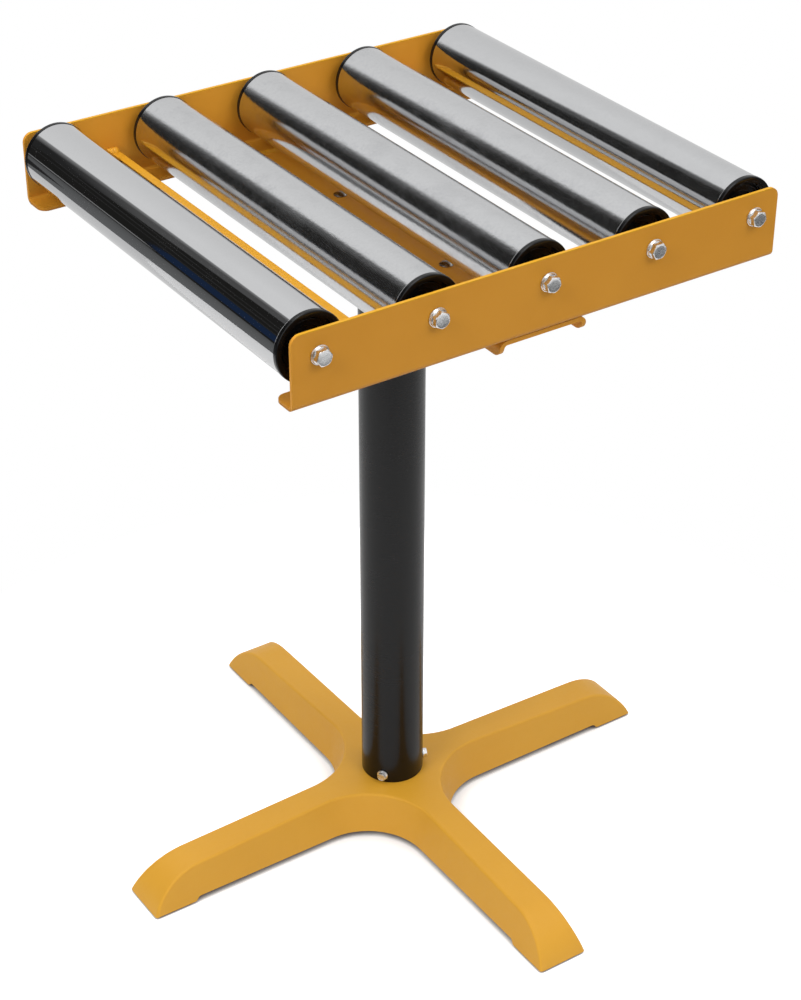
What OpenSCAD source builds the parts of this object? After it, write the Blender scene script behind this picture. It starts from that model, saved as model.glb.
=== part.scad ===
// Roller stand: a frame of five free-turning rollers on a round column and a four-arm cast base.
// Origin: centre of the base on the floor. +Z is up, and the rollers lie along Y.

/* [Rollers] */
// Distance between neighbouring roller axes
roller_pitch = 107; // [90:1:140]
// Outer diameter of a roller tube
roller_d = 60; // [50:1:76]
// Length of a roller over its end caps
roller_len = 422; // [300:1:600]
// Wall of a roller tube
tube_wall = 2.5; // [1.5:0.5:4]
// Gap between a roller's end and the side plate beside it
end_gap = 10; // [6:1:20]
// Diameter of the fixed axle where a bearing sits
axle_d = 15; // [12:1:17]
// Outer diameter of a ball bearing
bearing_d = 35; // [32:1:38]
// Width of a ball bearing
bearing_w = 11; // [9:1:14]

/* [Frame] */
// Sheet thickness of the side plates
plate_t = 3; // [2:0.5:5]
// Height of a side plate's top edge above the roller axes
plate_rise = 21.5; // [15:0.5:28]
// Depth of a side plate's underside below the roller axes
plate_drop = 44; // [38:1:60]
// Length of a side plate past the outer roller's axis
plate_end = 25; // [16:1:50]
// Width of the flange turned in at the foot of a side plate
flange_w = 27; // [20:1:40]
// Radius of the rounded corners of a side plate
plate_corner_r = 9; // [3:1:14]
// Width of the flat bars between the side plates
bar_w = 26; // [16:1:34]
// Thickness of the flat bars
bar_t = 4; // [3:0.5:8]
// Depth of a bar's top below the roller axes
bar_drop = 16; // [12:1:24]
// Width of the channel across the middle of the frame
channel_w = 86; // [76:1:120]
// Height of the channel
channel_h = 14; // [12:1:24]
// Sheet thickness of the channel
channel_t = 4; // [3:0.5:6]
// Distance of the channel's ends inside the faces of the side plates
channel_setback = 3.5; // [0:0.5:12]

/* [Column] */
// Outer diameter of the column
column_d = 61; // [50:1:62]
// Wall of the column
column_wall = 2.5; // [2:0.5:4]
// Length of the column
column_len = 584; // [400:1:900]
// Thickness of the plate welded to the top of the column
top_plate_t = 6; // [4:1:9]
// Distance between the two bolts that hold the frame to that plate
head_bolt_pitch = 166; // [120:1:240]
// Height of the spigot on the base that the column stands over
spigot_h = 70; // [40:1:120]

/* [Base] */
// Distance from the centre of the base to the tip of an arm
arm_reach = 286.5; // [240:0.5:360]
// Width of an arm at the foot's underside
arm_foot_w = 52; // [44:1:64]
// Width of an arm's top at the hub
arm_top_w = 29.5; // [22:0.5:34]
// Height of the hub above the feet's underside
hub_h = 43; // [34:1:52]
// Fall of an arm's top from the hub to the tip
arm_fall = 5.7; // [2:0.1:8]
// Radius of the curve down to an arm's tip
tip_r = 60; // [46:1:90]
// Distance from the centre to where the arms part
fork_reach = 87; // [72:1:100]
// Length of the foot under an arm's tip
foot_len = 44; // [30:1:60]
// Height of an arm's underside above the foot's
foot_lift = 4; // [2:1:8]
// Wall of the casting
cast_wall = 6; // [4:1:8]
// Thickness of the rubber pads
pad_t = 2; // [1:0.5:5]

/* [Hidden] */
$fn = 96;

// Colours
amber_paint = [0.82, 0.60, 0.24];
black_paint = [0.16, 0.16, 0.16];
chrome = [0.80, 0.82, 0.84];
zinc = [0.72, 0.74, 0.76];
black_plastic = [0.10, 0.10, 0.11];
rubber = [0.06, 0.06, 0.06];

// Fits
overrun = 1;            // how far a cut passes the face it opens
run_gap = 0.05;         // radial clearance of a turning fit
seat_gap = 0.05;        // radial clearance of a fixed fit
hole_gap = 0.5;         // radial clearance of a bolt in a plain hole
thread_gap = 0.1;       // radial clearance of a bolt in its thread
slip_gap = 0.2;         // radial clearance of the column over its spigot

// Rollers
roller_count = 5;
frame_w = roller_len + 2 * end_gap + 2 * plate_t;
inner_w = frame_w - 2 * plate_t;
cap_rim_t = 4;          // rim of a cap outside the tube
cap_proud = 0.4;        // rim of a cap beyond the tube's skin
cap_recess = 10;        // depth from the cap's rim to the bearing
cap_web_t = 3;          // disc between the cap's rim and its bearing seat
cap_wall = 3;           // wall of the cap's sleeve in the tube
cap_sleeve_len = 16;    // length of that sleeve
cap_ring_w = 1.6;       // raised ring on the cap's disc
cap_ring_h = 2.2;
cap_lip_w = 2;          // lip in front of the bearing
cap_edge_r = 1;         // rounding of the cap's rim
cap_rim_w = 4.2;        // width of the rim's face
ring_split_share = 0.63;// where the bearing's rings part, as a share of its radius
tube_chamfer = 0.5;
shoulder_step = 2.5;    // step of the axle behind the bearing
spacer_wall = 2.5;
bolt_d = 8;
bolt_thread_len = 18;   // length of the bolt's thread in the axle
bolt_drill_len = 24;    // depth of the axle's threaded hole
bolt_flange_d = 18;
bolt_flange_t = 1.4;
bolt_cone_h = 1.6;      // cone between the bolt's flange and its hexagon
bolt_hex = 13;          // across the flats
bolt_head_h = 8;        // height of the head with its flange
bolt_chamfer = 1;

bearing_seat = roller_len / 2 - cap_recess;         // outer face of a bearing, from the middle
ring_split_r = ring_split_share * bearing_d / 2;
tube_r = roller_d / 2;
tube_bore_r = tube_r - tube_wall;

// Frame
bend_r = 3;             // inner radius of the bends in the sheet
weld_leg = 4;
flange_weld_len = 50;
channel_corner_r = 9;   // rounding of the channel's lower corners
plate_len = (roller_count - 1) * roller_pitch + 2 * plate_end;
plate_h = plate_rise + plate_drop;

// Column and its fastenings
top_plate_edge = 16;    // plate beyond the bolts
top_plate_gap = 1.5;    // plate to the channel's bends
top_plate_corner_r = 6;
frame_bolt_d = 6;
frame_bolt_head_d = 12.5;
frame_bolt_head_h = 3.2;
frame_bolt_rim_h = 0.8; // straight edge of the domed head
frame_nut_hex = 10;
frame_nut_h = 5;
frame_washer_d = 12;
frame_washer_t = 1.6;
frame_bolt_tail = 2;    // thread past the nut
screw_d = 5;
screw_count = 3;
screw_turn = 218;       // angle of the first screw round the column
screw_rise = 8.8;       // height of the screws above the column's foot
screw_hex = 8;
screw_head_h = 3.6;
screw_washer_d = 11;
screw_washer_t = 1;
screw_grip = 7;         // thread in the spigot
column_weld_leg = 3.5;

// Base
spigot_wall = 8;
fork_bite = 0.5;        // how far the fork's curve passes the arm's side
pad_edge = 5;           // foot left bare round a pad
pad_corner_r = 4;
foot_ramp = 3;          // slant at the back of a foot

foot_z = pad_t;
hub_z = foot_z + hub_h;
arm_end_z = hub_z - arm_fall;
tip_len = sqrt(pow(tip_r, 2) - pow(tip_r - (arm_end_z - foot_z), 2));
arm_len = arm_reach - tip_len;
arm_draft = (arm_foot_w - arm_top_w) / 2 / hub_h;
cavity_z = arm_end_z - cast_wall;
fork_span = fork_reach - sqrt(fork_bite * (2 * (fork_reach - arm_foot_w / 2) + fork_bite));

column_top_z = hub_z + column_len;
web_z = column_top_z + top_plate_t + channel_t;     // top of the channel's web
axle_z = web_z + plate_drop;
channel_len = frame_w - 2 * channel_setback;
top_plate_w = channel_w - 2 * (channel_t + bend_r + top_plate_gap);
top_plate_len = head_bolt_pitch + 2 * top_plate_edge;

function roller_x(i) = (i - (roller_count + 1) / 2) * roller_pitch;
function arm_half_w(z) = arm_foot_w / 2 - arm_draft * (z - foot_z);

// Helpers

// A cylinder along +Y from y0
module y_rod(d, y0, len) {
    translate([0, y0, 0]) rotate([-90, 0, 0]) cylinder(d = d, h = len);
}

// Turns a profile drawn as (radius, distance inward from the roller's end) about the roller's axis
module at_roller_ends(i) {
    for (side = [0, 1]) {
        translate([roller_x(i), 0, axle_z])
            mirror([0, side, 0])
                translate([0, -roller_len / 2, 0])
                    rotate([-90, 0, 0])
                        children();
    }
}

// Sharp corner left outside a quarter circle, to be cut away; the corner is at the origin
module corner_waste(r) {
    difference() {
        translate([-overrun, -overrun]) square(r + overrun);
        translate([r, r]) circle(r = r);
    }
}

// Quarter of a sheet's bend, inner radius bend_r, with its outer corner at the origin
module bend(t) {
    intersection() {
        square(bend_r + t);
        translate([bend_r + t, bend_r + t]) difference() {
            circle(r = bend_r + t);
            circle(r = bend_r);
        }
    }
}

// Hexagon head with chamfered corners, base at z = 0
module hex_head(hex, h, chamfer) {
    corner_d = hex / cos(30);
    intersection() {
        cylinder(d = corner_d, h = h, $fn = 6);
        cylinder(d1 = corner_d + 2 * h, d2 = hex - chamfer, h = h + chamfer);
    }
}

// Side plates: an angle section with its flange turned in

module plate_section() {
    bend(plate_t);
    translate([0, bend_r + plate_t]) square([plate_t, plate_h - bend_r - plate_t]);
    translate([bend_r + plate_t, 0]) square([flange_w - bend_r - plate_t, plate_t]);
}

module side_plate() {
    color(amber_paint)
    translate([0, -frame_w / 2, web_z])
    difference() {
        rotate([90, 0, 90]) linear_extrude(plate_len, center = true) plate_section();
        for (side = [0, 1]) mirror([side, 0, 0]) {
            translate([plate_len / 2, -overrun, plate_h])
                rotate([-90, 180, 0]) mirror([0, 1, 0])
                    linear_extrude(plate_t + 2 * overrun) corner_waste(plate_corner_r);
            translate([plate_len / 2, flange_w, -overrun])
                rotate([0, 0, 180])
                    linear_extrude(plate_t + 2 * overrun) corner_waste(plate_corner_r);
        }
        for (i = [1:roller_count])
            translate([roller_x(i), 0, plate_drop])
                y_rod(bolt_d + 2 * hole_gap, -overrun, plate_t + 2 * overrun);
    }
}

module near_side_plate() {
    side_plate();
}

module far_side_plate() {
    mirror([0, 1, 0]) side_plate();
}

// Flat bars between the side plates, under the gaps beside the outer rollers

function bar_x() = (roller_x(roller_count) + roller_x(roller_count - 1)) / 2;

module cross_bar() {
    color(amber_paint)
    translate([bar_x() - bar_w / 2, -inner_w / 2, axle_z - bar_drop - bar_t])
        cube([bar_w, inner_w, bar_t]);
}

module right_cross_bar() {
    cross_bar();
}

module left_cross_bar() {
    mirror([1, 0, 0]) cross_bar();
}

// Channel across the middle, open downwards, that carries the side plates on the column

module channel_section() {
    bend_out = bend_r + channel_t;
    for (side = [0, 1]) mirror([side, 0, 0]) {
        translate([0, -channel_t]) square([channel_w / 2 - bend_out, channel_t]);
        translate([channel_w / 2, 0]) rotate(180) bend(channel_t);
        translate([channel_w / 2 - channel_t, -channel_h]) square([channel_t, channel_h - bend_out]);
    }
}

module cross_channel() {
    color(amber_paint)
    translate([0, 0, web_z])
    difference() {
        rotate([90, 0, 0]) linear_extrude(channel_len, center = true) channel_section();
        for (side = [0, 1]) mirror([0, side, 0]) {
            translate([-channel_w / 2 - overrun, -channel_len / 2, -channel_h])
                rotate([90, 0, 90])
                    linear_extrude(channel_w + 2 * overrun)
                        corner_waste(channel_corner_r);
            translate([0, head_bolt_pitch / 2, -channel_t - overrun])
                cylinder(d = frame_bolt_d + 2 * hole_gap, h = channel_t + 2 * overrun);
        }
    }
}

// Weld beads: above and below each bar's ends, and where each flange crosses the channel

module bead(len) {
    rotate([90, 0, 90]) linear_extrude(len, center = true)
        polygon([[0, 0], [weld_leg, 0], [0, weld_leg]]);
}

module frame_welds() {
    color(amber_paint)
    for (end = [0, 1]) mirror([0, end, 0]) {
        for (side = [0, 1]) mirror([side, 0, 0]) {
            translate([bar_x(), -inner_w / 2, axle_z - bar_drop]) bead(bar_w);
            translate([bar_x(), -inner_w / 2, axle_z - bar_drop - bar_t]) mirror([0, 0, 1]) bead(bar_w);
        }
        translate([0, flange_w - frame_w / 2, web_z]) intersection() {
            bead(flange_weld_len);
            translate([-flange_weld_len / 2, 0, 0]) cube([flange_weld_len, weld_leg, plate_t]);
        }
    }
}

// Axles: fixed, turned down at the bearings, threaded at both ends

module axle(i) {
    shoulder_y = bearing_seat - bearing_w;
    color(zinc)
    translate([roller_x(i), 0, axle_z])
    difference() {
        union() {
            y_rod(axle_d, -inner_w / 2, inner_w);
            y_rod(axle_d + 2 * shoulder_step, -shoulder_y, 2 * shoulder_y);
        }
        for (end = [0, 1]) mirror([0, end, 0])
            y_rod(bolt_d + 2 * thread_gap, -inner_w / 2 - overrun, bolt_drill_len + overrun);
    }
}

module axle_1() { axle(1); }
module axle_2() { axle(2); }
module axle_3() { axle(3); }
module axle_4() { axle(4); }
module axle_5() { axle(5); }

// Flanged hexagon bolts through the side plates into the axles

module axle_bolt() {
    y_rod(bolt_d, 0, plate_t + bolt_thread_len);
    rotate([90, 0, 0]) {
        cylinder(d = bolt_flange_d, h = bolt_flange_t);
        translate([0, 0, bolt_flange_t]) cylinder(d1 = bolt_flange_d, d2 = bolt_hex, h = bolt_cone_h);
        hex_head(bolt_hex, bolt_head_h, bolt_chamfer);
    }
}

module near_axle_bolts() {
    color(zinc)
    for (i = [1:roller_count])
        translate([roller_x(i), -frame_w / 2, axle_z]) axle_bolt();
}

module far_axle_bolts() {
    mirror([0, 1, 0]) near_axle_bolts();
}

// Spacers between the side plates and the bearings' inner rings

module axle_spacers() {
    color(zinc)
    for (i = [1:roller_count])
        at_roller_ends(i)
            translate([0, 0, -end_gap])
                difference() {
                    cylinder(r = axle_d / 2 + spacer_wall, h = end_gap + cap_recess);
                    translate([0, 0, -overrun])
                        cylinder(r = axle_d / 2 + seat_gap, h = end_gap + cap_recess + 2 * overrun);
                }
}

// Bearing rings; each pair turns on the surface where it parts

module bearing_inner_rings() {
    color(zinc)
    for (i = [1:roller_count])
        at_roller_ends(i)
            translate([0, 0, cap_recess])
                difference() {
                    cylinder(r = ring_split_r - run_gap, h = bearing_w);
                    translate([0, 0, -overrun])
                        cylinder(r = axle_d / 2 + seat_gap, h = bearing_w + 2 * overrun);
                }
}

module bearing_outer_rings(i) {
    color(zinc)
    at_roller_ends(i)
        translate([0, 0, cap_recess])
            difference() {
                cylinder(d = bearing_d, h = bearing_w);
                translate([0, 0, -overrun])
                    cylinder(r = ring_split_r, h = bearing_w + 2 * overrun);
            }
}

module bearing_outer_rings_1() { bearing_outer_rings(1); }
module bearing_outer_rings_2() { bearing_outer_rings(2); }
module bearing_outer_rings_3() { bearing_outer_rings(3); }
module bearing_outer_rings_4() { bearing_outer_rings(4); }
module bearing_outer_rings_5() { bearing_outer_rings(5); }

// Roller tubes

module roller_tube(i) {
    len = roller_len - 2 * cap_rim_t;
    color(chrome)
    translate([roller_x(i), -len / 2, axle_z])
    rotate([-90, 0, 0])
    rotate_extrude()
        polygon([
            [tube_bore_r, 0],
            [tube_r - tube_chamfer, 0],
            [tube_r, tube_chamfer],
            [tube_r, len - tube_chamfer],
            [tube_r - tube_chamfer, len],
            [tube_bore_r, len]
        ]);
}

module roller_tube_1() { roller_tube(1); }
module roller_tube_2() { roller_tube(2); }
module roller_tube_3() { roller_tube(3); }
module roller_tube_4() { roller_tube(4); }
module roller_tube_5() { roller_tube(5); }

// End caps: a rim over the tube's end, a recessed disc with a raised ring, and the bearing's seat

module cap_profile() {
    rim_r = tube_r + cap_proud;
    sleeve_r = tube_bore_r - seat_gap;
    seat_r = bearing_d / 2 + seat_gap;
    disc_z = cap_recess - cap_web_t;
    ring_r = (seat_r + sleeve_r - cap_wall) / 2;
    // Rim with its rounded outer edge
    translate([rim_r - cap_rim_w, 0]) square([cap_rim_w - cap_edge_r, cap_rim_t]);
    translate([rim_r - cap_rim_w, cap_edge_r]) square([cap_rim_w, cap_rim_t - cap_edge_r]);
    translate([rim_r - cap_edge_r, cap_edge_r]) circle(r = cap_edge_r);
    // Sleeve inside the tube
    translate([sleeve_r - cap_wall, cap_edge_r]) square([cap_wall, cap_rim_t + cap_sleeve_len - cap_edge_r]);
    // Recessed disc and its ring
    translate([seat_r - cap_lip_w, disc_z]) square([sleeve_r - seat_r + cap_lip_w - cap_edge_r, cap_web_t]);
    translate([ring_r - cap_ring_w / 2, disc_z - cap_ring_h]) square([cap_ring_w, cap_ring_h + cap_edge_r]);
    // Bearing seat
    translate([seat_r, disc_z]) square([cap_wall, cap_web_t + bearing_w]);
}

module roller_caps(i) {
    color(black_plastic)
    at_roller_ends(i)
        rotate_extrude() cap_profile();
}

module roller_caps_1() { roller_caps(1); }
module roller_caps_2() { roller_caps(2); }
module roller_caps_3() { roller_caps(3); }
module roller_caps_4() { roller_caps(4); }
module roller_caps_5() { roller_caps(5); }

// Column: a tube that stands on the hub, over the base's spigot

module at_screws() {
    for (k = [0:screw_count - 1])
        translate([0, 0, hub_z + screw_rise])
            rotate([0, 0, screw_turn + k * 360 / screw_count])
                rotate([0, 90, 0])
                    children();
}

module column_tube() {
    color(black_paint)
    difference() {
        translate([0, 0, hub_z]) cylinder(d = column_d, h = column_len);
        translate([0, 0, hub_z - overrun])
            cylinder(d = column_d - 2 * column_wall, h = column_len + 2 * overrun);
        at_screws() cylinder(d = screw_d + 2 * hole_gap, h = column_d);
    }
}

module column_top_plate() {
    color(black_paint)
    translate([0, 0, column_top_z])
    difference() {
        translate([-top_plate_w / 2, -top_plate_len / 2, 0])
            cube([top_plate_w, top_plate_len, top_plate_t]);
        for (side = [0, 1]) mirror([0, side, 0]) {
            for (half = [0, 1]) mirror([half, 0, 0])
                translate([-top_plate_w / 2, -top_plate_len / 2, -overrun])
                    linear_extrude(top_plate_t + 2 * overrun)
                        corner_waste(top_plate_corner_r);
            translate([0, head_bolt_pitch / 2, -overrun])
                cylinder(d = frame_bolt_d + 2 * hole_gap, h = top_plate_t + 2 * overrun);
        }
    }
}

// Weld bead round the column's top
module column_weld() {
    color(black_paint)
    translate([0, 0, column_top_z])
    rotate_extrude()
        translate([column_d / 2, 0])
            polygon([[0, 0], [column_weld_leg, 0], [0, -column_weld_leg]]);
}

// Bolts that hold the channel to the column's top plate

module at_frame_bolts() {
    for (side = [-1, 1])
        translate([0, side * head_bolt_pitch / 2, 0])
            children();
}

module frame_bolts() {
    grip = channel_t + top_plate_t + frame_washer_t + frame_nut_h + frame_bolt_tail;
    dome_h = frame_bolt_head_h - frame_bolt_rim_h;
    dome_r = (pow(frame_bolt_head_d / 2, 2) + pow(dome_h, 2)) / (2 * dome_h);
    color(zinc)
    at_frame_bolts() translate([0, 0, web_z]) {
        translate([0, 0, -grip]) cylinder(d = frame_bolt_d, h = grip + frame_bolt_rim_h);
        intersection() {
            cylinder(d = frame_bolt_head_d, h = frame_bolt_head_h);
            translate([0, 0, frame_bolt_head_h - dome_r]) sphere(r = dome_r);
        }
    }
}

module frame_washers() {
    color(zinc)
    at_frame_bolts() translate([0, 0, column_top_z - frame_washer_t])
        difference() {
            cylinder(d = frame_washer_d, h = frame_washer_t);
            translate([0, 0, -overrun])
                cylinder(d = frame_bolt_d + 2 * hole_gap, h = frame_washer_t + 2 * overrun);
        }
}

module frame_nuts() {
    color(zinc)
    at_frame_bolts() translate([0, 0, column_top_z - frame_washer_t - frame_nut_h])
        difference() {
            cylinder(d = frame_nut_hex / cos(30), h = frame_nut_h, $fn = 6);
            translate([0, 0, -overrun])
                cylinder(d = frame_bolt_d + 2 * thread_gap, h = frame_nut_h + 2 * overrun);
        }
}

// Hexagon screws and washers that lock the column on the spigot

screw_seat_r = column_d / 2 + seat_gap;

module column_screws() {
    color(zinc)
    at_screws() {
        translate([0, 0, column_d / 2 - column_wall - slip_gap - screw_grip])
            cylinder(d = screw_d, h = screw_grip + slip_gap + column_wall + screw_washer_t + seat_gap);
        translate([0, 0, screw_seat_r + screw_washer_t]) hex_head(screw_hex, screw_head_h, screw_head_h / 4);
    }
}

module column_washers() {
    color(zinc)
    at_screws() translate([0, 0, screw_seat_r])
        difference() {
            cylinder(d = screw_washer_d, h = screw_washer_t);
            translate([0, 0, -overrun])
                cylinder(d = screw_d + 2 * thread_gap, h = screw_washer_t + 2 * overrun);
        }
}

// Base: four arms with sloping sides, hollow underneath, with curved forks between them

// Side view of one arm from the centre out to its curved tip, with its foot
module arm_profile() {
    difference() {
        union() {
            polygon([
                [0, foot_z],
                [arm_len, foot_z],
                [arm_len, arm_end_z],
                [fork_reach, hub_z],
                [0, hub_z]
            ]);
            intersection() {
                translate([arm_len, foot_z]) square([tip_len + overrun, arm_end_z - foot_z]);
                translate([arm_len, arm_end_z - tip_r]) circle(r = tip_r);
            }
        }
        polygon([
            [-overrun, foot_z - overrun],
            [arm_reach - foot_len, foot_z - overrun],
            [arm_reach - foot_len, foot_z],
            [arm_reach - foot_len - foot_ramp, foot_z + foot_lift],
            [-overrun, foot_z + foot_lift]
        ]);
    }
}

// Cross section of an arm, drawn in by inset, from z0 up to z1
module arm_section(inset, z0, z1) {
    polygon([
        [-arm_half_w(z0) + inset, z0],
        [arm_half_w(z0) - inset, z0],
        [arm_half_w(z1) - inset, z1],
        [-arm_half_w(z1) + inset, z1]
    ]);
}

module arm_pair() {
    intersection() {
        rotate([90, 0, 90]) linear_extrude(2 * arm_reach, center = true)
            arm_section(0, foot_z, hub_z);
        rotate([90, 0, 0]) linear_extrude(arm_foot_w + 2 * overrun, center = true)
            for (side = [0, 1]) mirror([side, 0]) arm_profile();
    }
}

// Block between the arms that the curved forks are cut from, its sides moved in by inset
module fork_block(inset, z0, z1) {
    function cone_r(z) = fork_reach - arm_half_w(z) + fork_bite + inset;
    difference() {
        translate([-fork_span, -fork_span, z0]) cube([2 * fork_span, 2 * fork_span, z1 - z0]);
        for (x = [-1, 1], y = [-1, 1])
            translate([x * fork_reach, y * fork_reach, z0 - overrun])
                cylinder(r1 = cone_r(z0 - overrun), r2 = cone_r(z1 + overrun), h = z1 - z0 + 2 * overrun);
    }
}

module base_cavity() {
    reach = arm_reach - foot_len - foot_ramp - cast_wall;
    for (turn = [0, 90]) rotate([0, 0, turn])
        rotate([90, 0, 90]) linear_extrude(2 * reach, center = true)
            arm_section(cast_wall, foot_z, cavity_z);
    fork_block(cast_wall, foot_z, cavity_z);
}

module base_casting() {
    spigot_d = column_d - 2 * column_wall - 2 * slip_gap;
    boss_z = foot_z + foot_lift;
    color(amber_paint)
    difference() {
        union() {
            difference() {
                union() {
                    for (turn = [0, 90]) rotate([0, 0, turn]) arm_pair();
                    fork_block(0, boss_z, hub_z);
                }
                base_cavity();
            }
            translate([0, 0, boss_z]) cylinder(d = spigot_d, h = hub_z + spigot_h - boss_z);
        }
        translate([0, 0, boss_z - overrun])
            cylinder(d = spigot_d - 2 * spigot_wall, h = hub_z + spigot_h - boss_z + 2 * overrun);
        at_screws() cylinder(d = screw_d + 2 * thread_gap, h = column_d);
    }
}

// Rubber pads under the feet
module foot_pads() {
    pad_len = foot_len - 2 * pad_edge;
    pad_w = arm_foot_w - 2 * pad_edge;
    color(rubber)
    for (k = [0:3]) rotate([0, 0, k * 90])
        translate([arm_reach - foot_len + pad_edge, -pad_w / 2, 0])
            difference() {
                cube([pad_len, pad_w, pad_t]);
                for (corner = [[0, 0, 0], [pad_len, 0, 90], [pad_len, pad_w, 180], [0, pad_w, 270]])
                    translate([corner[0], corner[1], -overrun])
                        rotate([0, 0, corner[2]])
                            linear_extrude(pad_t + 2 * overrun)
                                corner_waste(pad_corner_r);
            }
}

near_side_plate();
far_side_plate();
left_cross_bar();
right_cross_bar();
cross_channel();
frame_welds();
near_axle_bolts();
far_axle_bolts();
axle_spacers();
bearing_inner_rings();
axle_1();
axle_2();
axle_3();
axle_4();
axle_5();
roller_tube_1();
roller_tube_2();
roller_tube_3();
roller_tube_4();
roller_tube_5();
roller_caps_1();
roller_caps_2();
roller_caps_3();
roller_caps_4();
roller_caps_5();
bearing_outer_rings_1();
bearing_outer_rings_2();
bearing_outer_rings_3();
bearing_outer_rings_4();
bearing_outer_rings_5();
column_tube();
column_top_plate();
column_weld();
frame_bolts();
frame_washers();
frame_nuts();
column_screws();
column_washers();
base_casting();
foot_pads();
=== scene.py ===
import bmesh
import bpy
import math
import random
from mathutils import Matrix, Vector


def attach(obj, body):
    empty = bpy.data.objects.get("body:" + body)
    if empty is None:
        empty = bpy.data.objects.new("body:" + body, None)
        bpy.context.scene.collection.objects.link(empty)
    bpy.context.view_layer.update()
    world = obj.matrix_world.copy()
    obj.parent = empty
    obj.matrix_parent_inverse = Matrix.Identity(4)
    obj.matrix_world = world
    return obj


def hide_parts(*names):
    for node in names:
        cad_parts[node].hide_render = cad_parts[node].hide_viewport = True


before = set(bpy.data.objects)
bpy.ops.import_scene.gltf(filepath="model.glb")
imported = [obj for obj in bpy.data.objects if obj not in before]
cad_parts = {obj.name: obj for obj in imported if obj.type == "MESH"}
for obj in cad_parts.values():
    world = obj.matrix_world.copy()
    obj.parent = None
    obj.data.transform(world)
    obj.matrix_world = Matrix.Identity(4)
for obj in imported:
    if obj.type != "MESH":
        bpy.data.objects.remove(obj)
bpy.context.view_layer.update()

mm = 0.001
random.seed(11)


# helpers for meshes; every shape below is drawn in millimetres

def placePiece(name, parts, material, nodes, body="stand", sharpAngle=38, bevel=None):
    # parts: list of (verts, faces); they become one mesh object that rides on a body
    verts, faces = [], []
    for partVerts, partFaces in parts:
        start = len(verts)
        verts += [Vector(v) * mm for v in partVerts]
        faces += [tuple(start + i for i in f) for f in partFaces]
    mesh = bpy.data.meshes.new(name)
    mesh.from_pydata(verts, [], faces)
    mesh.validate()
    piece = bpy.data.objects.new(name, mesh)
    bpy.context.scene.collection.objects.link(piece)
    tidyMesh(mesh)
    mesh.shade_smooth()
    mesh.set_sharp_from_angle(angle=math.radians(sharpAngle))
    if bevel:
        edge = piece.modifiers.new("softEdges", "BEVEL")
        edge.width, edge.segments = bevel * mm, 3
        edge.limit_method, edge.angle_limit = "ANGLE", math.radians(sharpAngle)
    weights = piece.modifiers.new("flatFaces", "WEIGHTED_NORMAL")
    weights.keep_sharp = bevel is None
    mesh.materials.append(material)
    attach(piece, body)
    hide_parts(*nodes)


def tidyMesh(mesh):
    # weld doubled points, drop empty faces and turn all faces outward
    work = bmesh.new()
    work.from_mesh(mesh)
    bmesh.ops.remove_doubles(work, verts=work.verts, dist=2e-6)
    bmesh.ops.dissolve_degenerate(work, edges=work.edges, dist=2e-6)
    bmesh.ops.recalc_face_normals(work, faces=work.faces)
    work.to_mesh(mesh)
    work.free()


def moved(part, matrix):
    verts, faces = part
    return [matrix @ Vector(v) for v in verts], faces


def axisPlace(origin, direction, turn=0.0):
    # matrix that stands a part drawn along +Z on origin, pointing along direction
    aim = Vector(direction).to_track_quat("Z", "Y").to_matrix().to_4x4()
    return Matrix.Translation(Vector(origin)) @ aim @ Matrix.Rotation(turn, 4, "Z")


def lathe(profile, segments=96, closed=False, shapeAt=None):
    # profile: (radius, height) pairs turned about Z; radius 0 makes a pole
    rings, verts, faces = [], [], []
    for radius, height in profile:
        if radius == 0:
            rings.append([len(verts)])
            verts.append((0, 0, height))
            continue
        ring = []
        for k in range(segments):
            a = 2 * math.pi * k / segments
            r = shapeAt(a, radius, height) if shapeAt else radius
            ring.append(len(verts))
            verts.append((r * math.cos(a), r * math.sin(a), height))
        rings.append(ring)
    pairs = list(zip(rings, rings[1:]))
    if closed:
        pairs.append((rings[-1], rings[0]))
    for low, high in pairs:
        for k in range(segments):
            n = (k + 1) % segments
            if len(low) == 1 and len(high) == 1:
                continue
            if len(low) == 1:
                faces.append((low[0], high[n], high[k]))
            elif len(high) == 1:
                faces.append((low[k], low[n], high[0]))
            else:
                faces.append((low[k], low[n], high[n], high[k]))
    return verts, faces


def arcPoints(cx, cy, radius, fromDeg, toDeg, steps):
    return [(cx + radius * math.cos(math.radians(fromDeg + (toDeg - fromDeg) * i / steps)),
             cy + radius * math.sin(math.radians(fromDeg + (toDeg - fromDeg) * i / steps)))
            for i in range(steps + 1)]


def foldedSheet(rows, thickness, toWorld):
    # rows: (point, outward normal, half length) down the sheet's section; toWorld(u, v, along) places a point
    verts, faces = [], []
    for (pu, pv), (nu, nv), half in rows:
        for depth in (0, thickness):
            for along in (-half, half):
                verts.append(toWorld(pu - nu * depth, pv - nv * depth, along))
    last = len(rows) - 1
    for j in range(last):
        a, b = 4 * j, 4 * j + 4
        faces += [(a, a + 1, b + 1, b), (a + 2, b + 2, b + 3, a + 3),
                  (a, b, b + 2, a + 2), (a + 1, a + 3, b + 3, b + 1)]
    faces += [(0, 2, 3, 1), (4 * last, 4 * last + 1, 4 * last + 3, 4 * last + 2)]
    return verts, faces


def cornerRows(start, step, normal, half, radius, reverse=False, steps=8):
    # rows over a sheet's rounded corners; start is the free edge, step points into the sheet
    rows = []
    for i in range(steps + 1):
        a = math.radians(90 * i / steps)
        s = radius * (1 - math.cos(a))
        spot = (start[0] + step[0] * s, start[1] + step[1] * s)
        rows.append((spot, normal, half - radius + radius * math.sin(a)))
    return rows[::-1] if reverse else rows


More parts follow.
